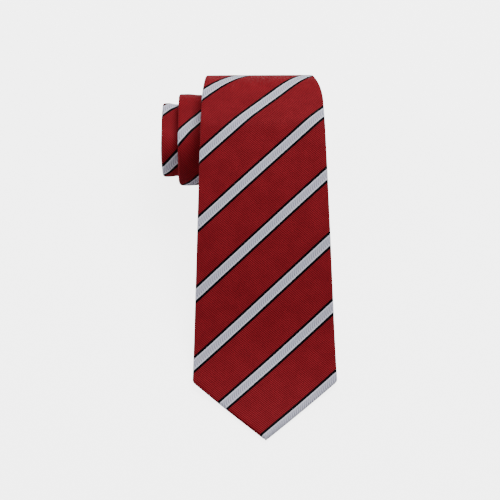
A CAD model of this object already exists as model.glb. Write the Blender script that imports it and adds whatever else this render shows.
from math import cos, pi, radians, sin, sqrt

import bmesh
import bpy
import numpy as np
from mathutils import Matrix, Vector


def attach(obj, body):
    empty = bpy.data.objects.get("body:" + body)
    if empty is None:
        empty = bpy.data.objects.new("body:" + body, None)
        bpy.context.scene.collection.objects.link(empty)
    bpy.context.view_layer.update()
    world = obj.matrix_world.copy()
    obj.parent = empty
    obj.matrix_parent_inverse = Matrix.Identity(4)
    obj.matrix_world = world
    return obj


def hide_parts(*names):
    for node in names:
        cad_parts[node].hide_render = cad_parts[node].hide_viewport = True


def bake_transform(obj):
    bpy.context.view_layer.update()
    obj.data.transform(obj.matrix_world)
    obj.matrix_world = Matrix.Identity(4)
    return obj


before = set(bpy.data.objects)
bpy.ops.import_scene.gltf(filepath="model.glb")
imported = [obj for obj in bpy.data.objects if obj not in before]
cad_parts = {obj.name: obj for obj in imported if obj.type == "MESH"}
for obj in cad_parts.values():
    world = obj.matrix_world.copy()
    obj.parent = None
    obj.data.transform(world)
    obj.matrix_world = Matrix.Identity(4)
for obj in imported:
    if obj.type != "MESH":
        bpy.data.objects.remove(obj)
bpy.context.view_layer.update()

MM = 0.001

# A silk necktie, rolled up from its narrow end. Everything follows one path, measured
# as a distance s in millimetres from the point of the wide blade. A "lift" is a
# distance from that path towards the face side of the tie.

# ---------------------------------------------------------------- dimensions, mm
BLADE_WIDTH, NECK_WIDTH, TAIL_WIDTH = 81.7, 34.0, 46.0
CREST, CREST_WIDTH = 210.0, 71.9   # where the blade turns over the roll
BLADE_POINT, TAIL_POINT = 36.0, 17.0
NECK_START, NECK_END = 760.0, 1000.0
POINT_RADIUS = 2.5       # rounding of the blade's point
CORNER_BLEND = 1.6       # rounding where the points' cuts meet the long edges
TAIL_NOSE = 0.6          # how far past the tail's end its two cuts would meet
LEAST_HALF_WIDTH = 0.3

LAP = 5.0                # how far one flap of the back lies over the other
HALF = 1.3               # half the thickness of the folded tie
CLOTH = 0.45             # thickness of the shell's silk
EDGE = HALF - CLOTH / 2  # radius of the folded edges, at the middle of the silk
POINT_SLANT = 0.52       # how much more a hem measures straight across the slanted point
MOST_EDGE, LEAST_FLAT = 0.49, 0.05   # share of the width in one edge, and flat cloth left
LAP_RISE, LAP_SLOPE = 1.05, 4.0      # how high the upper flap lies, in cloths, and its way down
SEAM_BEFORE, SEAM_AFTER = 8.0, 2.0   # where the flaps close, about the tipping's apex
TAIL_SEAM_OPEN, TAIL_OPENING = 10.0, 12.0   # and where they part again before the tail's point
FLAP_CROWD, FACE_CROWD = 1.7, 0.35   # how the columns crowd towards the folds

ROLL_RADIUS, FLAT_RUN = 29.75, 17.0
BLADE_PITCH, CORE_PITCH, THIN_TURNS, TURNS = 2.85, 3.2, 4, 9
BLADE_TURNS, NECK_TURNS = 3, 2
LYING_RUN, DIP_RADIUS, CREST_RADIUS = 12.0, 139.0, 512.0
RAMP_ANGLE, SHOULDER_ANGLE = radians(26.0), radians(18.5)

# The two steps: the left edge of each, the turn where it starts, and the way it starts
FLUSH_LEFT, NECK_STEP, NECK_CREEP = -35.0, -50.3, -50.45
TAIL_STEP, TAIL_CREEP = -60.2, -61.2
NECK_STEP_TURN, TAIL_STEP_TURN = 3, 5
STEP_LEAD, STEP_ARC, CREEP_DELAY = 8.0, 1.35, 50.0

# Flare of the steps: how far out, over how much of the tie, and from which X to which
NECK_FLARE, NECK_FLARE_RUN, NECK_FLARE_START, NECK_FLARE_FULL = 0.6, 60.0, -38.0, -45.0
TAIL_FLARE, TAIL_FLARE_RUN, TAIL_FLARE_START, TAIL_FLARE_FULL = 0.8, 50.0, -52.0, -57.0

LOOSE = 0.5              # how far the outermost turn stands off the roll
LOOSE_START, LOOSE_FULL, LOOSE_FALL, LOOSE_END = -25.0, 12.0, 45.0, 80.0   # from the crest
TUCK, LEFT_TUCK = 0.105, 0.3   # share that the right edge draws in, and the left edge's part of it
TUCK_START, TUCK_FULL, TUCK_FALL, TUCK_END = 207.0, 236.0, 270.0, 340.0
CROWN, FREE_CROWN = 0.10, 0.25       # how full the silk is everywhere, and more on the free blade
UNEVEN, FREE_UNEVEN = 0.05, 0.14     # the same for its unevenness
UNEVEN_BACK, LOOSE_BACK = 0.4, 0.2   # the back's share of the unevenness and of LOOSE
FREE_BEFORE, FREE_AFTER = 30.0, 25.0     # where the free blade goes over into the roll
FLOOR_GAP, INNER_FLOOR_GAP = 0.03, 0.3   # least height of the silk's two faces
THIN_POINT = 1.8         # how far from the blade's very point the shell is thinner

# The free blade: where its pieces part, and the stretches that bend
FOLD_BREAK, LIFT_BREAK = 155.0, 245.0
FOLD_START, FOLD_END = 112.0, 129.0
LIFT_START, LIFT_END = 178.0, 206.0

WOOL_START, WOOL_INSET, WOOL_LOW, WOOL_HIGH = 5.0, 2.2, -0.33, 0.72
WOOL_MOST_INSET, WOOL_LEFT_TUCK, WOOL_RIGHT_TUCK = 0.3, 0.2, 0.5     # shares of the width, the tuck
LINING_LOW, LINING_HIGH = -0.70, -0.42
TIPPING_APEX, HEM = 107.5, 7.0
TIPPING_START, TIPPING_UNDER = 4.5, 6.0
TAIL_HEM, TAIL_LINING_BEFORE, TAIL_LINING_SHORT = 6.0, 3.0, 2.2
TACK, TACK_SIZE, TAIL_TACK_BEFORE = 109.0, 7.0, 1.6
LABEL_LOW, LABEL_HIGH, LABEL_WIDTH, LABEL_CLOTH = 131.0, 145.0, 50.0, 0.36
CARE_LOW, CARE_HIGH, CARE_HALF, CARE_CLOTH = 129.0, 146.0, 11.0, 0.3
KEEPER_LOW, KEEPER_HIGH, KEEPER_HALF, KEEPER_FOOT, KEEPER_BOW = 148.0, 159.0, 29.0, 6.0, 6.6
KEEPER_CLOTH = 0.38      # half the thickness of the keeper

# Stripes: distance between them along the tie, their slope, and the white half width
STRIPE_PITCH, STRIPE_SLOPE, STRIPE_START = 39.99, 0.923, 3.24
NECK_STRIPE, NECK_SLOPE, TAIL_STRIPE = 5.5, 1.12, 17.6
POINT_SHIFT = 2.5        # how much the cloth is drawn towards the blade's point
SHIFT_FULL, SHIFT_NONE = 8.0, 26.0
WHITE_HALF, LINE_WIDTH, RAGGED = 2.4, 1.4, 0.24
STRIPE_BLUR, LINE_BLUR_IN, LINE_BLUR_OUT = 0.12, 0.1, 0.14
PICK_PITCH, PICK_BOW = 1.12, 0.2
PICK_FULL, PICK_END = 0.95, 0.55     # how far inside the white's edge the picks stop

# Ribs of the silk: how far apart they are, and the direction across them
RIB_PITCH, RIB_LEAN = 1.007, radians(49.2)
DOT_SHARE, RIB_WEIGHT = 0.62, 0.75   # the weft's dots: their pitch in ribs; the ribs' weight


def pitch(turn):
    """Distance from a turn of the roll to the next one inside it."""
    return BLADE_PITCH if turn < THIN_TURNS else CORE_PITCH


def back_radius(turn):
    """Radius of a turn's half circle at the back of the roll."""
    return ROLL_RADIUS - sum(pitch(k) for k in range(turn))


def front_radius(turn):
    """Radius of a turn's half circle at the front of the roll."""
    return back_radius(turn) - pitch(turn) / 2


# ---------------------------------------------------------------- the tie's path
def make_path():
    """Legs of the path from the blade's point: (length, radius or None, turn)."""
    slope, shoulder = RAMP_ANGLE, SHOULDER_ANGLE
    rise = (
        DIP_RADIUS * (1 - cos(slope)) + CREST_RADIUS * (cos(shoulder) - cos(slope))
        + ROLL_RADIUS * (1 - cos(shoulder))
    )
    ramp = (2 * ROLL_RADIUS - rise) / sin(slope)
    span = (
        LYING_RUN + DIP_RADIUS * sin(slope) + ramp * cos(slope)
        + CREST_RADIUS * (sin(slope) - sin(shoulder)) + ROLL_RADIUS * sin(shoulder)
    )
    legs = [
        (LYING_RUN, None, 0), (DIP_RADIUS * slope, DIP_RADIUS, 1), (ramp, None, 0),
        (CREST_RADIUS * (slope - shoulder), CREST_RADIUS, -1),
        (ROLL_RADIUS * shoulder, ROLL_RADIUS, -1),
    ]
    free = sum(leg[0] for leg in legs)
    legs.append((FLAT_RUN, None, 0))
    for turn in range(TURNS):
        for radius in (back_radius(turn), front_radius(turn)):
            legs.append((pi * radius, radius, -1))
            legs.append((FLAT_RUN, None, 0))
    return legs, free, -FLAT_RUN / 2 - span


LEGS, FREE, TIP_Y = make_path()
PATH_END = sum(leg[0] for leg in LEGS)
TAIL_CORNER = PATH_END - FLAT_RUN


def walk(s):
    """Height profile of the path at distances s: y, z and heading."""
    s = np.asarray(s, float)
    y, z, h = (np.zeros_like(s) for _ in range(3))
    y0, z0, h0, done = TIP_Y, HALF, 0.0, 0.0
    for length, radius, turn in LEGS:
        q = np.clip(s - done, 0, length)
        on = s >= done - 1e-9
        if radius is None:
            yy, zz, hh = y0 + q * cos(h0), z0 + q * sin(h0), h0 + 0 * q
            y0, z0 = y0 + length * cos(h0), z0 + length * sin(h0)
        else:
            hh = h0 + turn * q / radius
            yy = y0 + turn * radius * (np.sin(hh) - sin(h0))
            zz = z0 - turn * radius * (np.cos(hh) - cos(h0))
            h1 = h0 + turn * length / radius
            y0 += turn * radius * (sin(h1) - sin(h0))
            z0 -= turn * radius * (cos(h1) - cos(h0))
            h0 = h1
        y, z, h = np.where(on, yy, y), np.where(on, zz, z), np.where(on, hh, h)
        done += length
    return y, z, h


def spot(s, x=0.0, lift=0.0):
    """One point of the row frame, in metres."""
    y, z, h = walk(s)
    return Vector((x, float(y - lift * np.sin(h)), float(z + lift * np.cos(h)))) * MM


def turn_start(turn):
    """Distance along the tie at which a turn starts, at the back of the roll's top."""
    full = sum(pi * (back_radius(k) + front_radius(k)) + 2 * FLAT_RUN for k in range(turn))
    return FREE + FLAT_RUN + full


def under_run(turn):
    """Distance along the tie at which a turn reaches the roll's underside."""
    return turn_start(turn) + pi * back_radius(turn)


def smooth(low, high, value):
    """0 at low and 1 at high, with a level start and end."""
    t = np.clip((value - low) / (high - low), 0, 1)
    return t * t * (3 - 2 * t)


def soft_min(a, b, k):
    """The smaller of two values, with the corner between them rounded."""
    h = np.clip(0.5 + 0.5 * (b - a) / k, 0, 1)
    return b + (a - b) * h - k * h * (1 - h)


def width_at(s):
    """Finished width, with both points cut and their corners rounded."""
    body = np.interp(
        s, [BLADE_POINT, CREST, NECK_START, NECK_END, TAIL_CORNER],
        [BLADE_WIDTH, CREST_WIDTH, NECK_WIDTH, NECK_WIDTH, TAIL_WIDTH],
    )
    tip = BLADE_WIDTH / 2 / BLADE_POINT
    centre = POINT_RADIUS * sqrt(1 + tip * tip) / tip
    from_centre = np.clip(centre - s, 0, POINT_RADIUS)
    round_tip = np.sqrt(np.clip(POINT_RADIUS ** 2 - from_centre ** 2, 0, None))
    tangent = centre - POINT_RADIUS * tip / sqrt(1 + tip * tip)
    blade = np.where(s < tangent, round_tip, s * tip)
    tail = (PATH_END + TAIL_NOSE - s) * TAIL_WIDTH / 2 / TAIL_POINT
    half = soft_min(body / 2, blade, CORNER_BLEND)
    half = soft_min(half, tail, CORNER_BLEND)
    return 2 * np.maximum(half, LEAST_HALF_WIDTH)


def left_at(s):
    """Left edge of the tie: level with the blade, then standing out in two steps."""
    s = np.asarray(s, float)
    width = width_at(s)
    turned = np.interp(s, [FREE, turn_start(1)], [0.0, 1.0])
    flush = -width / 2 * (1 - turned) + FLUSH_LEFT * turned
    first, second = under_run(NECK_STEP_TURN), under_run(TAIL_STEP_TURN)
    neck_end = first + FLAT_RUN + STEP_ARC * front_radius(NECK_STEP_TURN)
    tail_end = second + FLAT_RUN + STEP_ARC * front_radius(TAIL_STEP_TURN)
    neck_out = smooth(first - STEP_LEAD, neck_end, s)
    tail_out = smooth(second - STEP_LEAD, tail_end, s)
    neck_creep = np.interp(s, [first + CREEP_DELAY, second], [0.0, NECK_CREEP - NECK_STEP])
    tail_creep = np.interp(s, [second + CREEP_DELAY, TAIL_CORNER], [0.0, TAIL_CREEP - TAIL_STEP])
    left = flush + (NECK_STEP - FLUSH_LEFT) * neck_out + neck_creep
    left = left + (TAIL_STEP - NECK_CREEP) * tail_out + tail_creep
    return left + np.where(s > TAIL_CORNER - 6, (TAIL_WIDTH - width) / 2, 0.0)


def flare_at(s, x):
    """How far the turns that stand out to the left spring outwards."""
    first, second = under_run(NECK_STEP_TURN), under_run(TAIL_STEP_TURN)
    neck = NECK_FLARE * smooth(first, first + NECK_FLARE_RUN, s)
    tail = TAIL_FLARE * smooth(second, second + TAIL_FLARE_RUN, s)
    neck_side = smooth(NECK_FLARE_START, NECK_FLARE_FULL, x)
    tail_side = smooth(TAIL_FLARE_START, TAIL_FLARE_FULL, x)
    return neck * neck_side + tail * tail_side


# ---------------------------------------------------------------- meshes
def new_mesh(name, vertices, faces, uvs=None, normals=None):
    """A smooth mesh object, vertices in millimetres."""
    mesh = bpy.data.meshes.new(name)
    mesh.from_pydata((np.asarray(vertices) * MM).tolist(), [], faces)
    work = bmesh.new()
    work.from_mesh(mesh)
    bmesh.ops.recalc_face_normals(work, faces=work.faces)
    work.to_mesh(mesh)
    work.free()
    mesh.shade_smooth()
    if uvs is not None:
        layer = mesh.uv_layers.new(name="Cloth")
        corners = np.zeros(len(mesh.loops), dtype=np.int64)
        mesh.loops.foreach_get("vertex_index", corners)
        layer.data.foreach_set("uv", (np.asarray(uvs)[corners] * MM).ravel())
    if normals is not None:
        mesh.normals_split_custom_set_from_vertices(normals.tolist())
    piece = bpy.data.objects.new(name, mesh)
    bpy.context.collection.objects.link(piece)
    return piece


def grid_faces(rows, columns, first=0, flip=False, wrap=False):
    """Quads of a grid of vertices stored row by row."""
    faces = []
    for i in range(rows - 1):
        for j in range(columns if wrap else columns - 1):
            k = (j + 1) % columns
            a, b = first + i * columns + j, first + i * columns + k
            c, d = b + columns, a + columns
            faces.append((a, d, c, b) if flip else (a, b, c, d))
    return faces


def tuck_at(s):
    """Share by which the right edge draws in where the blade turns over the roll."""
    return float(TUCK * smooth(TUCK_START, TUCK_FULL, s) * (1 - smooth(TUCK_FALL, TUCK_END, s)))


def loose_at(s):
    """Share by which the outermost turn stands off where it goes over the roll."""
    rise = smooth(FREE + LOOSE_START, FREE + LOOSE_FULL, s)
    return float(rise * (1 - smooth(FREE + LOOSE_FALL, FREE + LOOSE_END, s)))


def undulate(x, s, free):
    """Gentle unevenness of silk over wool: the free blade more than the roll."""
    wave = (
        np.sin(x / 11.0 + s / 23.0 + 0.7) * np.sin(s / 17.0 - 0.4)
        + 0.6 * np.sin(x / 6.3 - s / 31.0 + 2.1) * np.sin(s / 9.5 + x / 19.0)
    )
    return wave * (UNEVEN + FREE_UNEVEN * free)


def silk_section(s, columns):
    """One cut across the folded shell: x from the middle, lift, and distance round
    the silk from the middle of the face, listed from the right flap's free edge,
    over the face, to the left flap's free edge."""
    width = float(width_at(s))
    slant = 1 + POINT_SLANT * (1 - smooth(BLADE_POINT - 4, BLADE_POINT + 2, s))
    edge = min(EDGE * slant, MOST_EDGE * width)
    inner = width / 2 - edge
    spread = BLADE_WIDTH / 2 * (TIPPING_APEX - s) / (TIPPING_APEX - BLADE_POINT)
    tail_open = (width / 2 - TAIL_HEM) * smooth(TAIL_CORNER - TAIL_OPENING, TAIL_CORNER, s)
    open_back = max(min(width / 2 - HEM * slant, spread), tail_open, 0.0)
    closed = smooth(TIPPING_APEX - SEAM_BEFORE, TIPPING_APEX + SEAM_AFTER, s)
    closed = float(closed * (1 - smooth(TAIL_CORNER - TAIL_SEAM_OPEN, TAIL_CORNER, s)))
    right_free = min(open_back - LAP * closed, inner - LEAST_FLAT)
    left_free = max(0.5 * closed - open_back, LEAST_FLAT - inner)
    face_n, side_n, flap_n = columns
    turn = np.linspace(-pi / 2, pi / 2, side_n + 2)[1:-1]
    flap = np.linspace(0, 1, flap_n) ** FLAP_CROWD
    xa = right_free + (inner - right_free) * flap
    lap = 1 - smooth(left_free, left_free + LAP_SLOPE, xa)
    na = -EDGE + LAP_RISE * CLOTH * closed * lap
    xb, nb = inner + edge * np.cos(turn), EDGE * np.sin(turn)
    crowded = np.cos(np.linspace(0, pi, face_n))
    even = np.linspace(1, -1, face_n)
    xc = inner * crowded * FACE_CROWD + inner * even * (1 - FACE_CROWD)
    nc = np.full(face_n, EDGE)
    xd, nd = -inner - edge * np.cos(turn[::-1]), EDGE * np.sin(turn[::-1])
    xe = left_free + (-inner - left_free) * flap[::-1]
    ne = np.full(flap_n, -EDGE)
    x = np.concatenate([xa, xb, xc, xd, xe])
    n = np.concatenate([na, nb, nc, nd, ne])
    steps = np.hypot(np.diff(x), np.diff(n))
    round_ = np.concatenate([[0], np.cumsum(steps)])
    middle = flap_n + side_n + (face_n - 1) // 2
    return x, n, round_[middle] - round_


def silk_grid(stations, columns):
    """Outer and inner surface of the shell at every station, in millimetres."""
    outer, inner, uv = [], [], []
    for s in stations:
        x, n, u = silk_section(s, columns)
        width = float(width_at(s))
        dx, dn = np.gradient(x), np.gradient(n)
        size = np.maximum(np.hypot(dx, dn), 1e-9)
        ox, on = dn / size, -dx / size
        free = 1 - smooth(FREE - FREE_BEFORE, FREE + FREE_AFTER, s)
        up = smooth(-EDGE, EDGE, n)
        crown = (CROWN + FREE_CROWN * free) * (1 - np.clip(2 * np.abs(x) / width, 0, 1) ** 3)
        uneven = undulate(x, s, free) * (UNEVEN_BACK + (1 - UNEVEN_BACK) * up)
        lifted = n + crown * up + uneven
        lifted = lifted + LOOSE * loose_at(s) * (LOOSE_BACK + (1 - LOOSE_BACK) * up)
        thin = sqrt(max(1 - max(1 - s / THIN_POINT, 0.0) ** 2, 0.04))
        tuck = tuck_at(s)
        middle = float(left_at(s)) + width / 2
        y, z, h = (float(v) for v in walk(s))
        for rows, side in ((outer, 1.0), (inner, -1.0)):
            px = x + side * ox * CLOTH / 2
            px = px * np.where(px > 0, 1 - tuck, 1 - LEFT_TUCK * tuck) + middle
            lift = (lifted + side * on * CLOTH / 2) * thin + flare_at(s, px)
            pz = np.maximum(z + lift * cos(h), FLOOR_GAP if side > 0 else INNER_FLOOR_GAP)
            rows.append(np.stack([px, y - lift * sin(h), pz], 1))
        uv.append(np.stack([u, np.full(len(x), s)], 1))
    return np.array(outer), np.array(inner), np.array(uv)


def grid_normals(grid, outward):
    """Unit normals at a grid's vertices, on the side that outward, 1 or -1, picks."""
    along = np.gradient(grid, axis=0)
    across = np.gradient(grid, axis=1)
    normal = np.cross(across, along)
    normal /= np.maximum(np.linalg.norm(normal, axis=2, keepdims=True), 1e-9)
    return normal * outward


def shell_piece(name, grids, normals, first, last):
    """The shell between two stations, closed at its edges and ends."""
    outer, inner, uv = (g[first:last + 1] for g in grids)
    rows, columns = outer.shape[:2]
    count = rows * columns
    faces = grid_faces(rows, columns) + grid_faces(rows, columns, count, flip=True)
    for i in range(rows - 1):
        for j, flip in ((0, True), (columns - 1, False)):
            a, d = i * columns + j, (i + 1) * columns + j
            quad = (a, d, d + count, a + count)
            faces.append(quad[::-1] if flip else quad)
    for i, flip in ((0, False), (rows - 1, True)):
        for j in range(columns - 1):
            a, b = i * columns + j, i * columns + j + 1
            quad = (a, a + count, b + count, b)
            faces.append(quad[::-1] if flip else quad)
    vertices = np.concatenate([outer.reshape(-1, 3), inner.reshape(-1, 3)])
    uvs = np.concatenate([uv.reshape(-1, 2), uv.reshape(-1, 2)])
    out, into = (g[first:last + 1].reshape(-1, 3) for g in normals)
    piece = new_mesh(name, vertices, faces, uvs, np.concatenate([out, into]))
    return piece


def band_piece(name, stations, left, right, low, high, columns=9):
    """A thin strip that follows the path, between two edges and two lifts."""
    loop = []
    for s in stations:
        x0, x1 = left(s), right(s)
        round_ = min((high - low) / 2, (x1 - x0) / 4)
        across = np.linspace(x0 + round_, x1 - round_, columns)
        x = np.concatenate([across, [x1], across[::-1], [x0]])
        mid = (low + high) / 2
        lift = np.concatenate([np.full(columns, high), [mid], np.full(columns, low), [mid]])
        lift = lift + flare_at(s, x)
        y, z, h = walk(np.full(len(x), s))
        loop.append(np.stack([x, y - lift * np.sin(h), z + lift * np.cos(h)], 1))
    loop = np.array(loop)
    rows, ring = loop.shape[:2]
    faces = grid_faces(rows, ring, wrap=True)
    faces.append(tuple(range(ring - 1, -1, -1)))
    faces.append(tuple((rows - 1) * ring + j for j in range(ring)))
    s_all = np.repeat(np.asarray(stations, float), ring)
    uvs = np.stack([loop[..., 0].ravel(), s_all], 1)
    return new_mesh(name, loop.reshape(-1, 3), faces, uvs)


def thread_mesh(name, lines, radius):
    """Short lengths of thread, each a tube with narrow ends along points in metres."""
    vertices, faces = [], []
    sides, end_size = 8, 0.45
    for points in lines:
        points = [Vector(p) for p in points]
        first = len(vertices)
        for i, point in enumerate(points):
            ahead = points[min(i + 1, len(points) - 1)] - points[max(i - 1, 0)]
            turn = ahead.to_track_quat("Z", "Y")
            size = radius * (end_size if i in (0, len(points) - 1) else 1.0)
            for k in range(sides):
                a = 2 * pi * k / sides
                out = Vector((size * cos(a), size * sin(a), 0))
                vertices.append(point / MM + turn @ out)
        rows = len(points)
        faces += grid_faces(rows, sides, first, flip=True, wrap=True)
        faces.append(tuple(first + k for k in range(sides)))
        faces.append(tuple(first + (rows - 1) * sides + k for k in range(sides - 1, -1, -1)))
    return new_mesh(name, [tuple(v) for v in vertices], faces)


# ---------------------------------------------------------------- materials
class Cloth:
    """A material and short ways to write its nodes."""

    def __init__(self, name, roughness=0.7, sheen=0.0, sheen_roughness=0.4, specular=0.5):
        self.material = bpy.data.materials.new(name)
        self.material.use_nodes = True
        self.tree = self.material.node_tree
        self.shader = self.tree.nodes["Principled BSDF"]
        self.shader.inputs["Roughness"].default_value = roughness
        self.shader.inputs["Sheen Weight"].default_value = sheen
        self.shader.inputs["Sheen Roughness"].default_value = sheen_roughness
        self.shader.inputs["Specular IOR Level"].default_value = specular

    def put(self, socket, value):
        """Link a node's output to a socket, or set the socket's own value."""
        if hasattr(value, "is_output"):
            self.tree.links.new(value, socket)
        else:
            socket.default_value = value

    def math(self, operation, *values):
        node = self.tree.nodes.new("ShaderNodeMath")
        node.operation = operation
        for socket, value in zip(node.inputs, values):
            self.put(socket, value)
        return node.outputs[0]

    def step(self, value, low, high, start=0.0, end=1.0):
        """Smooth step of a value between two limits."""
        node = self.tree.nodes.new("ShaderNodeMapRange")
        node.interpolation_type = "SMOOTHSTEP"
        for index, item in enumerate((value, low, high, start, end)):
            self.put(node.inputs[index], item)
        return node.outputs[0]

    def mix(self, factor, a, b):
        node = self.tree.nodes.new("ShaderNodeMix")
        node.data_type = "RGBA"
        self.put(node.inputs[0], factor)
        self.put(node.inputs[6], a)
        self.put(node.inputs[7], b)
        return node.outputs[2]

    def cloth_uv(self):
        """Distances in millimetres across the cloth and along the tie."""
        node = self.tree.nodes.new("ShaderNodeUVMap")
        node.uv_map = "Cloth"
        parts = self.tree.nodes.new("ShaderNodeSeparateXYZ")
        self.tree.links.new(node.outputs[0], parts.inputs[0])
        return [self.math("MULTIPLY", out, 1 / MM) for out in parts.outputs[:2]]

    def vector(self, x, y, z=0.0):
        node = self.tree.nodes.new("ShaderNodeCombineXYZ")
        for socket, value in zip(node.inputs, (x, y, z)):
            self.put(socket, value)
        return node.outputs[0]

    def place(self):
        return self.tree.nodes.new("ShaderNodeTexCoord").outputs["Object"]

    def noise(self, vector, scale, detail=2.0):
        node = self.tree.nodes.new("ShaderNodeTexNoise")
        self.put(node.inputs["Vector"], vector)
        node.inputs["Scale"].default_value = scale
        node.inputs["Detail"].default_value = detail
        return node.outputs[0]

    def wave(self, value, period):
        """0 to 1 and back, once in each period."""
        turned = self.math("MULTIPLY", value, 2 * pi / period)
        return self.math("MULTIPLY_ADD", self.math("COSINE", turned), 0.5, 0.5)

    def turned(self, u, v, angle):
        """Distance in a direction at an angle to the way across the cloth."""
        across = self.math("MULTIPLY", u, cos(angle))
        along = self.math("MULTIPLY", v, sin(angle))
        return self.math("ADD", across, along)

    def finish(self, colour, height, depth, roughness=None):
        """Join the colour, the bump of a depth in millimetres and the roughness."""
        self.put(self.shader.inputs["Base Color"], colour)
        if roughness is not None:
            self.put(self.shader.inputs["Roughness"], roughness)
        bump = self.tree.nodes.new("ShaderNodeBump")
        bump.inputs["Distance"].default_value = depth * MM
        self.put(bump.inputs["Height"], height)
        self.put(self.shader.inputs["Normal"], bump.outputs[0])
        return self.material


def rgb(red, green, blue):
    """An sRGB colour, 0 to 255, as the shader wants it."""
    values = [c / 255 for c in (red, green, blue)]
    values = [c / 12.92 if c <= 0.04045 else ((c + 0.055) / 1.055) ** 2.4 for c in values]
    return (*values, 1.0)


def silk(name, start, slope):
    """Ribbed silk with white stripes edged in black; start places the first stripe."""
    cloth = Cloth(name, roughness=0.5, specular=0.03)
    u, v = cloth.cloth_uv()
    lean = 1 / sqrt(1 + slope ** 2)
    ragged = cloth.noise(cloth.vector(u, v), 1.6, 1.0)
    ragged = cloth.math("MULTIPLY_ADD", ragged, RAGGED, -RAGGED / 2)
    along = cloth.math("SUBTRACT", v, cloth.math("MULTIPLY", u, slope))
    shift = cloth.step(along, SHIFT_FULL, SHIFT_NONE, POINT_SHIFT, 0.0)
    along = cloth.math("ADD", along, shift)
    turn = cloth.math("DIVIDE", cloth.math("SUBTRACT", along, start), STRIPE_PITCH)
    part = cloth.math("FRACT", cloth.math("ADD", turn, 0.5))
    part = cloth.math("SUBTRACT", part, 0.5)
    off = cloth.math("MULTIPLY", part, STRIPE_PITCH * lean)
    off = cloth.math("ADD", off, ragged)
    away = cloth.math("ABSOLUTE", off)
    white = cloth.step(away, WHITE_HALF - STRIPE_BLUR, WHITE_HALF + STRIPE_BLUR, 1.0, 0.0)
    line_end = WHITE_HALF + LINE_WIDTH
    dark = cloth.step(away, line_end - LINE_BLUR_IN, line_end + LINE_BLUR_OUT, 1.0, 0.0)

    # red ground: ribs that fall to the right, crossed by a finer dotted weft
    rib = cloth.wave(cloth.turned(u, v, RIB_LEAN), RIB_PITCH)
    dots = cloth.wave(cloth.turned(u, v, RIB_LEAN + pi / 2), RIB_PITCH * DOT_SHARE)
    ribs = cloth.math("MULTIPLY", rib, RIB_WEIGHT)
    ground = cloth.math("ADD", ribs, cloth.math("MULTIPLY", dots, 1 - RIB_WEIGHT))
    uneven = cloth.noise(cloth.vector(u, v), 0.11, 3.0)
    fleck = cloth.noise(cloth.vector(u, v), 1.7, 1.0)

    # white stripe: a rope of curved picks between two smooth edges
    bow = cloth.math("MULTIPLY", cloth.math("MULTIPLY", off, off), PICK_BOW)
    rope = cloth.wave(cloth.math("SUBTRACT", u, bow), PICK_PITCH)
    core = cloth.step(away, WHITE_HALF - PICK_FULL, WHITE_HALF - PICK_END, 1.0, 0.0)
    picks = cloth.math("MULTIPLY", cloth.math("SUBTRACT", 1.0, rope), core)

    red = cloth.mix(ground, rgb(46, 11, 16), rgb(181, 38, 50))
    red = cloth.mix(cloth.step(uneven, 0.35, 0.65, 0.0, 0.2), red, rgb(92, 9, 18))
    red = cloth.mix(cloth.step(fleck, 0.6, 0.85, 0.0, 0.15), red, rgb(150, 30, 42))
    pale = cloth.mix(picks, rgb(234, 234, 249), rgb(160, 161, 184))
    colour = cloth.mix(dark, red, rgb(3, 3, 10))
    colour = cloth.mix(white, colour, pale)

    height = cloth.math("MULTIPLY", ground, cloth.math("SUBTRACT", 1.0, dark))
    stripe_height = cloth.math("SUBTRACT", 0.95, cloth.math("MULTIPLY", picks, 0.8))
    height = cloth.math("ADD", height, cloth.math("MULTIPLY", white, stripe_height))
    fuzz = cloth.math("MULTIPLY", cloth.noise(cloth.vector(u, v), 6.0), 0.15)
    height = cloth.math("ADD", height, fuzz)
    rough = cloth.math("MULTIPLY_ADD", cloth.math("SUBTRACT", 1.0, ground), 0.2, 0.42)
    return cloth.finish(colour, height, 0.09, rough)


def satin(name, pale, deep, rib):
    """Smooth satin with fine long floats along the tie."""
    cloth = Cloth(name, roughness=0.3, specular=0.25)
    u, v = cloth.cloth_uv()
    floats = cloth.wave(cloth.math("ADD", u, cloth.math("MULTIPLY", v, 0.22)), rib)
    weft = cloth.wave(cloth.math("SUBTRACT", v, cloth.math("MULTIPLY", u, 0.5)), rib * 2.6)
    weave = cloth.math("MULTIPLY", floats, cloth.math("MULTIPLY_ADD", weft, 0.5, 0.5))
    soft = cloth.noise(cloth.vector(u, v), 0.09, 3.0)
    colour = cloth.mix(weave, deep, pale)
    colour = cloth.mix(cloth.step(soft, 0.4, 0.7, 0.0, 0.3), colour, deep)
    return cloth.finish(colour, weave, 0.05)


def wool(name):
    """Brushed wool interlining."""
    cloth = Cloth(name, roughness=0.95, sheen=0.5, specular=0.1)
    u, v = cloth.cloth_uv()
    weave = cloth.math("MULTIPLY", cloth.wave(u, 0.9), cloth.wave(v, 1.0))
    fluff = cloth.noise(cloth.vector(u, v), 1.4, 4.0)
    height = cloth.math("ADD", weave, cloth.math("MULTIPLY", fluff, 1.2))
    colour = cloth.mix(fluff, rgb(196, 184, 152), rgb(238, 231, 212))
    return cloth.finish(colour, height, 0.3)


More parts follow.
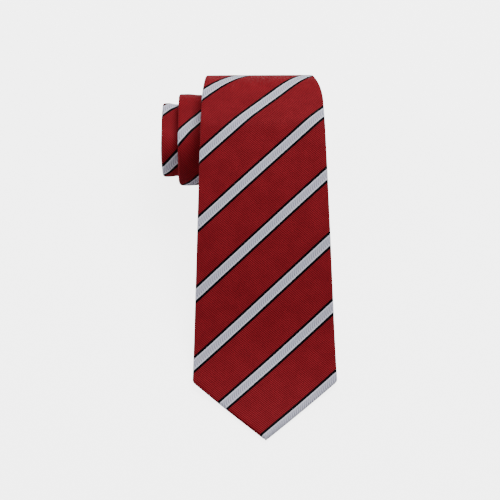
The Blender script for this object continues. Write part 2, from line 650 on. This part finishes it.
def label(name, ground, figure, half_width, low, high):
    """Woven ribbon with a plain border line and no lettering."""
    cloth = Cloth(name, roughness=0.5, sheen=0.2)
    u, v = cloth.cloth_uv()
    warp, weft = 0.34, 0.42
    side_inset, end_inset = 2.6, 1.7
    weave = cloth.math("MULTIPLY", cloth.wave(u, warp), cloth.wave(v, weft))
    rib = cloth.wave(v, weft)
    from_side = cloth.math("SUBTRACT", half_width - side_inset, cloth.math("ABSOLUTE", u))
    middle = cloth.math("ABSOLUTE", cloth.math("SUBTRACT", v, (low + high) / 2))
    from_end = cloth.math("SUBTRACT", (high - low) / 2 - end_inset, middle)
    inside = cloth.math("MINIMUM", from_side, from_end)
    line = cloth.math("ABSOLUTE", cloth.math("SUBTRACT", inside, 0.3))
    border = cloth.step(line, 0.18, 0.3, 1.0, 0.0)
    half_tone = cloth.mix(0.5, ground, figure)
    colour = cloth.mix(cloth.math("MULTIPLY", rib, 0.4), ground, half_tone)
    colour = cloth.mix(border, colour, figure)
    raised = cloth.math("MULTIPLY", border, 0.6)
    height = cloth.math("ADD", cloth.math("MULTIPLY", weave, 0.7), raised)
    return cloth.finish(colour, height, 0.07)


def thread(name, pale, deep):
    """Twisted silk thread."""
    cloth = Cloth(name, roughness=0.42, sheen=0.3)
    place = cloth.place()
    parts = cloth.tree.nodes.new("ShaderNodeSeparateXYZ")
    cloth.put(parts.inputs[0], place)
    twist = cloth.math("ADD", parts.outputs[1], parts.outputs[2])
    twist = cloth.math("ADD", parts.outputs[0], twist)
    ply = cloth.wave(cloth.math("MULTIPLY", twist, 1 / MM), 0.55)
    fibre = cloth.noise(place, 2600.0, 2.0)
    plies = cloth.math("MULTIPLY", ply, 0.6)
    mixed = cloth.math("ADD", plies, cloth.math("MULTIPLY", fibre, 0.4))
    return cloth.finish(cloth.mix(mixed, deep, pale), mixed, 0.08)


# ---------------------------------------------------------------- the shell
def stations_between(low, high):
    """Closely spaced distances along the tie, closer at its points and tight turns."""
    found, s = [low], low
    longest, most_bend, least_bend = 2.6, 0.11, 1e-6
    while s < high - 0.01:
        _, _, now = walk(np.array([s, s + 1.0]))
        bend = abs(float(now[1] - now[0]))
        gap = min(longest, most_bend / max(bend, least_bend))
        if s < BLADE_POINT + 6 or s > TAIL_CORNER - 4:
            from_point = min(s, abs(PATH_END - s), abs(BLADE_POINT - s))
            gap = min(gap, 0.45 + 0.09 * from_point)
        s = min(s + gap, high)
        found.append(s)
    return found


SHELL_START = 0.35      # the silk's first cut, just past the blade's very point
NECK_JOIN, TAIL_JOIN = turn_start(BLADE_TURNS), turn_start(BLADE_TURNS + NECK_TURNS)
BREAKS = [SHELL_START, FOLD_BREAK, LIFT_BREAK, NECK_JOIN, TAIL_JOIN, PATH_END]
stations, marks = [], [0]
for low, high in zip(BREAKS, BREAKS[1:]):
    rows = stations_between(low, high)
    stations += rows if not stations else rows[1:]
    marks.append(len(stations) - 1)

FACE_COLUMNS, EDGE_COLUMNS, FLAP_COLUMNS = 31, 5, 13
grids = silk_grid(stations, (FACE_COLUMNS, EDGE_COLUMNS, FLAP_COLUMNS))
normals = (grid_normals(grids[0], -1.0), grid_normals(grids[1], 1.0))

silk_blade = silk("silk_blade", STRIPE_START, STRIPE_SLOPE)
silk_neck = silk("silk_neck", NECK_STRIPE, NECK_SLOPE)
silk_tail = silk("silk_tail", TAIL_STRIPE, STRIPE_SLOPE)

shell = {}
for name, node, material, first, last in (
    ("blade_front", "blade_shell_lower", silk_blade, 0, 1),
    ("blade_turn", "blade_shell_upper", silk_blade, 1, 2),
    ("blade_roll", "blade_shell_rolled", silk_blade, 2, 3),
    ("neck_roll", "neck_shell", silk_neck, 3, 4),
    ("tail_roll", "tail_shell", silk_tail, 4, 5),
):
    piece = shell_piece(name, grids, normals, marks[first], marks[last])
    piece.data.materials.append(material)
    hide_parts(node)
    shell[name] = piece


def bend_front(piece):
    """Cloth that crosses the line where the blade folds back."""
    spot(FOLD_START)
    spot(FOLD_END)
    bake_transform(piece)


def bend_turn(piece):
    """Cloth that crosses the line where the blade lifts off the roll."""
    spot(LIFT_START)
    spot(LIFT_END)
    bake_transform(piece)


bend_front(shell["blade_front"])
bend_turn(shell["blade_turn"])
for name in ("blade_roll", "neck_roll", "tail_roll"):
    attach(shell[name], "roll")

# ---------------------------------------------------------------- interlining
wool_material = wool("interlining_wool")


def inner_left(s):
    """Left edge of the interlining, inside the shell's fold."""
    width = float(width_at(s))
    inset = min(WOOL_INSET, WOOL_MOST_INSET * width)
    return float(left_at(s)) + inset + WOOL_LEFT_TUCK * tuck_at(s) * width


def inner_right(s):
    """Right edge of the interlining, drawn in where the shell is."""
    width = float(width_at(s))
    inset = min(WOOL_INSET, WOOL_MOST_INSET * width)
    return float(left_at(s)) + width - inset - WOOL_RIGHT_TUCK * tuck_at(s) * width


def declare_strip(rows, left, right):
    """Say that a strip is a sheet, with the flat size that its two edges give."""
    widths = np.array([right(s) - left(s) for s in rows])


for name, node, low, high in (
    ("interlining_front", "interlining_lower", WOOL_START, FOLD_BREAK),
    ("interlining_turn", "interlining_upper", FOLD_BREAK, LIFT_BREAK),
    ("interlining_roll", "interlining_rolled", LIFT_BREAK, TAIL_CORNER - 1.0),
):
    rows = stations_between(low, high)
    piece = band_piece(name, rows, inner_left, inner_right, WOOL_LOW, WOOL_HIGH)
    piece.data.materials.append(wool_material)
    declare_strip(rows, inner_left, inner_right)
    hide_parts(node)
    if name == "interlining_front":
        bend_front(piece)
    elif name == "interlining_turn":
        bend_turn(piece)
    else:
        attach(piece, "roll")

# ---------------------------------------------------------------- tipping
tipping_satin = satin("tipping_satin", rgb(138, 10, 26), rgb(84, 3, 14), 0.5)


def blade_lining_right(s):
    """Right edge of the lining: the opening in the blade's back and a margin under the silk."""
    slant = 1 + POINT_SLANT if s < BLADE_POINT else 1.0
    inside = float(width_at(s)) / 2 - WOOL_INSET * slant
    apex = TIPPING_APEX + TIPPING_UNDER
    spread = BLADE_WIDTH / 2 * (apex - s) / (apex - BLADE_POINT) + 1.0
    return max(min(inside, spread), 0.4)


def blade_lining_left(s):
    return -blade_lining_right(s)


def tail_lining_edge(s, side):
    """Left (-1) or right (1) edge of the tail's lining."""
    width = float(width_at(s))
    middle = float(left_at(s)) + width / 2
    return middle + side * max(width / 2 - 1.8, 0.3)


def tail_lining_left(s):
    return tail_lining_edge(s, -1)


def tail_lining_right(s):
    return tail_lining_edge(s, 1)


blade_rows = stations_between(TIPPING_START, TIPPING_APEX + 5)
tail_rows = stations_between(TAIL_CORNER - TAIL_LINING_BEFORE, PATH_END - TAIL_LINING_SHORT)
for name, node, body, rows, left, right, columns in (
    ("blade_tipping_lining", "blade_tipping", "blade_lower", blade_rows,
     blade_lining_left, blade_lining_right, 17),
    ("tail_tipping_lining", "tail_tipping", "roll", tail_rows,
     tail_lining_left, tail_lining_right, 9),
):
    piece = band_piece(name, rows, left, right, LINING_LOW, LINING_HIGH, columns)
    piece.data.materials.append(tipping_satin)
    declare_strip(rows, left, right)
    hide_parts(node)
    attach(piece, body)

# ---------------------------------------------------------------- fittings on the back
red_thread = thread("red_thread", rgb(150, 26, 32), rgb(92, 8, 14))
tack_thread = thread("tack_thread", rgb(128, 18, 26), rgb(70, 5, 10))

LABEL_TOP, CARE_TOP = -HALF - 0.02, -HALF - 0.7


def label_piece(name, node, low, high, half_width, top, cloth, ground, figure, slot, body):
    """A small woven label on the back; its material is named after its slot."""
    rows = np.linspace(low, high, 15)
    piece = band_piece(name, rows, lambda s: -half_width, lambda s: half_width,
                       top - cloth, top, 25)
    piece.data.materials.append(label(slot, ground, figure, half_width, low, high))
    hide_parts(node)
    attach(piece, body)


label_piece("maker_label_ribbon", "maker_label", LABEL_LOW, LABEL_HIGH, LABEL_WIDTH / 2,
            LABEL_TOP, LABEL_CLOTH, rgb(22, 26, 44), rgb(176, 160, 112), "label_weave",
            "blade_upper")
label_piece("care_label_leaf", "care_label", CARE_LOW, CARE_HIGH, CARE_HALF,
            CARE_TOP, CARE_CLOTH, rgb(226, 224, 216), rgb(188, 186, 180), "care_satin",
            "care_leaf")


SEAM_THREAD, TACK_THREAD, TAIL_THREAD, JOIN_THREAD = 0.17, 0.16, 0.15, 0.13     # radii
STITCH_RISE, TACK_RISE, WRAP_RISE, SLIP_RISE = 0.22, 0.34, 0.62, 0.3
TACK_SUNK, STITCH_SUNK, JOIN_SUNK = 0.1, 0.12, 0.2      # how deep they start in the cloth


def across_thread(s0, s1, x0, x1, lift, rise, count=7):
    """Points of a stitch on the back that dips into the cloth at both ends."""
    points = []
    for t in np.linspace(0, 1, count):
        dip = -rise * sin(pi * t) ** 0.6
        points.append(spot(s0 + (s1 - s0) * t, x0 + (x1 - x0) * t, lift + dip))
    return points


def add_thread(name, node, lines, radius, material, body):
    """One piece made of many short stitches."""
    piece = thread_mesh(name, lines, radius)
    piece.data.materials.append(material)
    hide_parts(node)
    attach(piece, body)


STITCHES, STITCH_STEP, STITCH_FROM, STITCH_TO = 5, 2.5, 0.9, 2.7
STITCH_INSET, STITCH_LEAN = 1.5, 0.15
for side, word in ((-1, "left"), (1, "right")):
    x = side * (LABEL_WIDTH / 2 - STITCH_INSET)
    lines = []
    for k in range(STITCHES):
        first = LABEL_LOW + STITCH_FROM + STITCH_STEP * k
        last = LABEL_LOW + STITCH_TO + STITCH_STEP * k
        under = -HALF - LABEL_CLOTH
        lines.append(across_thread(first, last, x, x + STITCH_LEAN, under, STITCH_RISE))
    add_thread("label_stitching_" + word, "maker_label_stitches_" + word, lines, SEAM_THREAD,
               red_thread, "blade_upper")

TACK_ROWS, TACK_FIRST, TACK_STEP, TACK_WRAPS = 5, 0.25, 0.28, 17
WRAP_INSET, WRAP_FROM, WRAP_TO, WRAP_LEAN = 0.35, -0.15, 1.75, 0.12


def bar_tack(middle, first):
    """Threads laid side by side across the seam, whipped over from end to end."""
    lines = []
    left, right = middle - TACK_SIZE / 2, middle + TACK_SIZE / 2
    for k in range(TACK_ROWS):
        s = first + TACK_FIRST + TACK_STEP * k
        lines.append(across_thread(s, s, left, right, -HALF + TACK_SUNK, TACK_RISE, 11))
    for k in range(TACK_WRAPS):
        x = left + WRAP_INSET + (TACK_SIZE - 2 * WRAP_INSET) * k / (TACK_WRAPS - 1)
        low, high = first + WRAP_FROM, first + WRAP_TO
        under = -HALF + STITCH_SUNK
        lines.append(across_thread(low, high, x, x + WRAP_LEAN, under, WRAP_RISE, 9))
    return lines


add_thread("blade_tack_stitching", "blade_bar_tack", bar_tack(0.0, TACK), TACK_THREAD,
           tack_thread, "blade_lower")
before = TAIL_CORNER - TAIL_LINING_BEFORE
tail_middle = float(left_at(before) + width_at(before) / 2)
tail_tack = bar_tack(tail_middle, TAIL_CORNER - TAIL_TACK_BEFORE)
add_thread("tail_tack_stitching", "tail_bar_tack", tail_tack, TAIL_THREAD,
           tack_thread, "roll")

SLIP_STITCHES, SLIP_FIRST, SLIP_STEP, SLIP_LENGTH = 2, 1.0, 8.0, 5.0
SLIP_LEFT, SLIP_RIGHT = 0.1, 0.7
lines = []
for k in range(SLIP_STITCHES):
    first = KEEPER_HIGH + SLIP_FIRST + SLIP_STEP * k
    under = -HALF + STITCH_SUNK
    lines.append(across_thread(first, first + SLIP_LENGTH, SLIP_LEFT, SLIP_RIGHT, under,
                               SLIP_RISE, 13))
add_thread("seam_stitching", "slip_stitch", lines, SEAM_THREAD, red_thread,
           "blade_upper")

SEAM_STEP, SEAM_STITCH, SEAM_MARGIN, SEAM_SPARE = 2.0, 1.5, 1.6, 3.0
for node, distance in (("blade_join_seam", NECK_JOIN), ("neck_join_seam", TAIL_JOIN)):
    left, width = float(left_at(distance)), float(width_at(distance))
    lines = []
    for lift in (HALF - JOIN_SUNK, -HALF + JOIN_SUNK):
        for k in range(int((width - SEAM_SPARE) / SEAM_STEP)):
            x = left + SEAM_MARGIN + SEAM_STEP * k
            parts = (0.0, 0.2, 0.5, 0.8, 1.0)
            lines.append([spot(distance, x + SEAM_STITCH * t, lift) for t in parts])
    add_thread(node + "_stitching", node, lines, JOIN_THREAD, red_thread, "roll")

# ---------------------------------------------------------------- keeper loop
def keeper_profile(x):
    """Lift of the middle of the loop's cloth, under the blade's back."""
    span = KEEPER_HALF - KEEPER_FOOT
    if abs(x) >= span:
        return 0.0
    radius = (span ** 2 + KEEPER_BOW ** 2) / (2 * KEEPER_BOW)
    return -(sqrt(radius ** 2 - x ** 2) - (radius - KEEPER_BOW))


def keeper_loop():
    """A folded silk strip across the back, held at its ends and bowed between them."""
    vertices, uvs = [], []
    ring, cuts, hang = 20, 65, 0.44
    end_run, end_thin = 0.8, 0.55
    long_corner, flat_corner = 0.35, 0.6
    xs = np.linspace(-KEEPER_HALF, KEEPER_HALF, cuts)
    lifts = [keeper_profile(x) for x in xs]
    slopes = np.gradient(lifts, xs)
    middle, half = (KEEPER_LOW + KEEPER_HIGH) / 2, (KEEPER_HIGH - KEEPER_LOW) / 2
    for x, lift, slope in zip(xs, lifts, slopes):
        end = min((KEEPER_HALF - abs(x)) / end_run, 1.0)
        thick = KEEPER_CLOTH * (end_thin + (1 - end_thin) * sqrt(end))
        for k in range(ring):
            a = 2 * pi * k / ring
            across = half * np.sign(cos(a)) * abs(cos(a)) ** long_corner
            out = thick * np.sign(sin(a)) * abs(sin(a)) ** flat_corner
            tilt = sqrt(1 + slope ** 2)
            s = middle + across
            below = -HALF - hang + lift + out / tilt
            vertices.append(tuple(spot(s, x - out * slope / tilt, below) / MM))
            uvs.append((x, 2 * KEEPER_HIGH - s if sin(a) < 0 else s))
    faces = grid_faces(len(xs), ring, wrap=True)
    faces.append(tuple(range(ring - 1, -1, -1)))
    faces.append(tuple((len(xs) - 1) * ring + j for j in range(ring)))
    return new_mesh("keeper_band", vertices, faces, uvs)


piece = keeper_loop()
piece.data.materials.append(silk_neck)
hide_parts("keeper_loop")
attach(piece, "blade_upper")

# ---------------------------------------------------------------- floor, light, camera
FLOOR_GLOW, SKY_GLOW, SKY_LIGHT = 4.2, 4.5, 0.3
FLOOR_REACH = 4.0
MIDDLE = Vector((0, -0.06, 0.02))    # the middle of the tie


def floor_material():
    """Plain white floor, with a glow that only the camera's own rays see."""
    material = bpy.data.materials.new("white_floor")
    material.use_nodes = True
    tree = material.node_tree
    shader = tree.nodes["Principled BSDF"]
    shader.inputs["Base Color"].default_value = (0.86, 0.86, 0.86, 1)
    shader.inputs["Roughness"].default_value = 0.9
    shader.inputs["Emission Color"].default_value = (1, 1, 1, 1)
    path = tree.nodes.new("ShaderNodeLightPath")
    glow = tree.nodes.new("ShaderNodeMath")
    glow.operation = "MULTIPLY"
    tree.links.new(path.outputs["Is Camera Ray"], glow.inputs[0])
    glow.inputs[1].default_value = FLOOR_GLOW
    tree.links.new(glow.outputs[0], shader.inputs["Emission Strength"])
    return material


floor_mesh = bpy.data.meshes.new("floor")
corners = [(x * FLOOR_REACH, y * FLOOR_REACH, 0) for x, y in ((-1, -1), (1, -1), (1, 1), (-1, 1))]
floor_mesh.from_pydata(corners, [], [(0, 1, 2, 3)])
floor = bpy.data.objects.new("floor", floor_mesh)
floor.data.materials.append(floor_material())
bpy.context.collection.objects.link(floor)

world = bpy.data.worlds.new("studio")
world.use_nodes = True
bpy.context.scene.world = world
tree = world.node_tree
path = tree.nodes.new("ShaderNodeLightPath")
sky = tree.nodes["Background"]
sky.inputs["Color"].default_value = (1, 1, 1, 1)
brighter = tree.nodes.new("ShaderNodeMath")
brighter.operation = "MULTIPLY_ADD"
tree.links.new(path.outputs["Is Camera Ray"], brighter.inputs[0])
brighter.inputs[1].default_value = SKY_GLOW
brighter.inputs[2].default_value = SKY_LIGHT
tree.links.new(brighter.outputs[0], sky.inputs["Strength"])


def softbox(name, where, size, power):
    """A large soft area light aimed at the middle of the tie."""
    light = bpy.data.lights.new(name, "AREA")
    light.shape = "RECTANGLE"
    light.size, light.size_y = size
    light.energy = power
    box = bpy.data.objects.new(name, light)
    box.location = where
    box.rotation_mode = "QUATERNION"
    aim = MIDDLE - Vector(where)
    box.rotation_quaternion = aim.to_track_quat("-Z", "Y")
    bpy.context.collection.objects.link(box)


softbox("key", (0.28, 0.58, 1.0), (0.7, 0.5), 12.7)
softbox("left", (-0.95, 0.2, 0.3), (0.4, 0.4), 3.0)
softbox("fill", (0.5, -0.8, 0.8), (0.8, 0.8), 1.6)

# The camera: its direction in radians, distance and aim in metres, lens in millimetres
ELEVATION, AZIMUTH, CAMERA_ROLL = radians(54.68), 0.03, -0.02
DISTANCE, LENS = 0.88, 106.5888
OFF_RIGHT, OFF_UP = 0.007769, 0.012959   # how far the middle lies right of and above the aim
side = Vector((cos(AZIMUTH), -sin(AZIMUTH), 0))
rise = Vector((sin(ELEVATION) * sin(AZIMUTH), sin(ELEVATION) * cos(AZIMUTH), cos(ELEVATION)))
back = side.cross(rise)
right = side * cos(CAMERA_ROLL) - rise * sin(CAMERA_ROLL)
up = rise * cos(CAMERA_ROLL) + side * sin(CAMERA_ROLL)
eye = MIDDLE + back * DISTANCE
aim = MIDDLE - right * OFF_RIGHT - up * OFF_UP
z_axis = (eye - aim).normalized()
x_axis = up.cross(z_axis).normalized()
y_axis = z_axis.cross(x_axis)
camera = bpy.data.objects.new("camera", bpy.data.cameras.new("camera"))
camera.data.lens = LENS
turned = Matrix((x_axis, y_axis, z_axis)).transposed().to_4x4()
camera.matrix_world = Matrix.Translation(eye) @ turned
bpy.context.collection.objects.link(camera)
bpy.context.scene.camera = camera
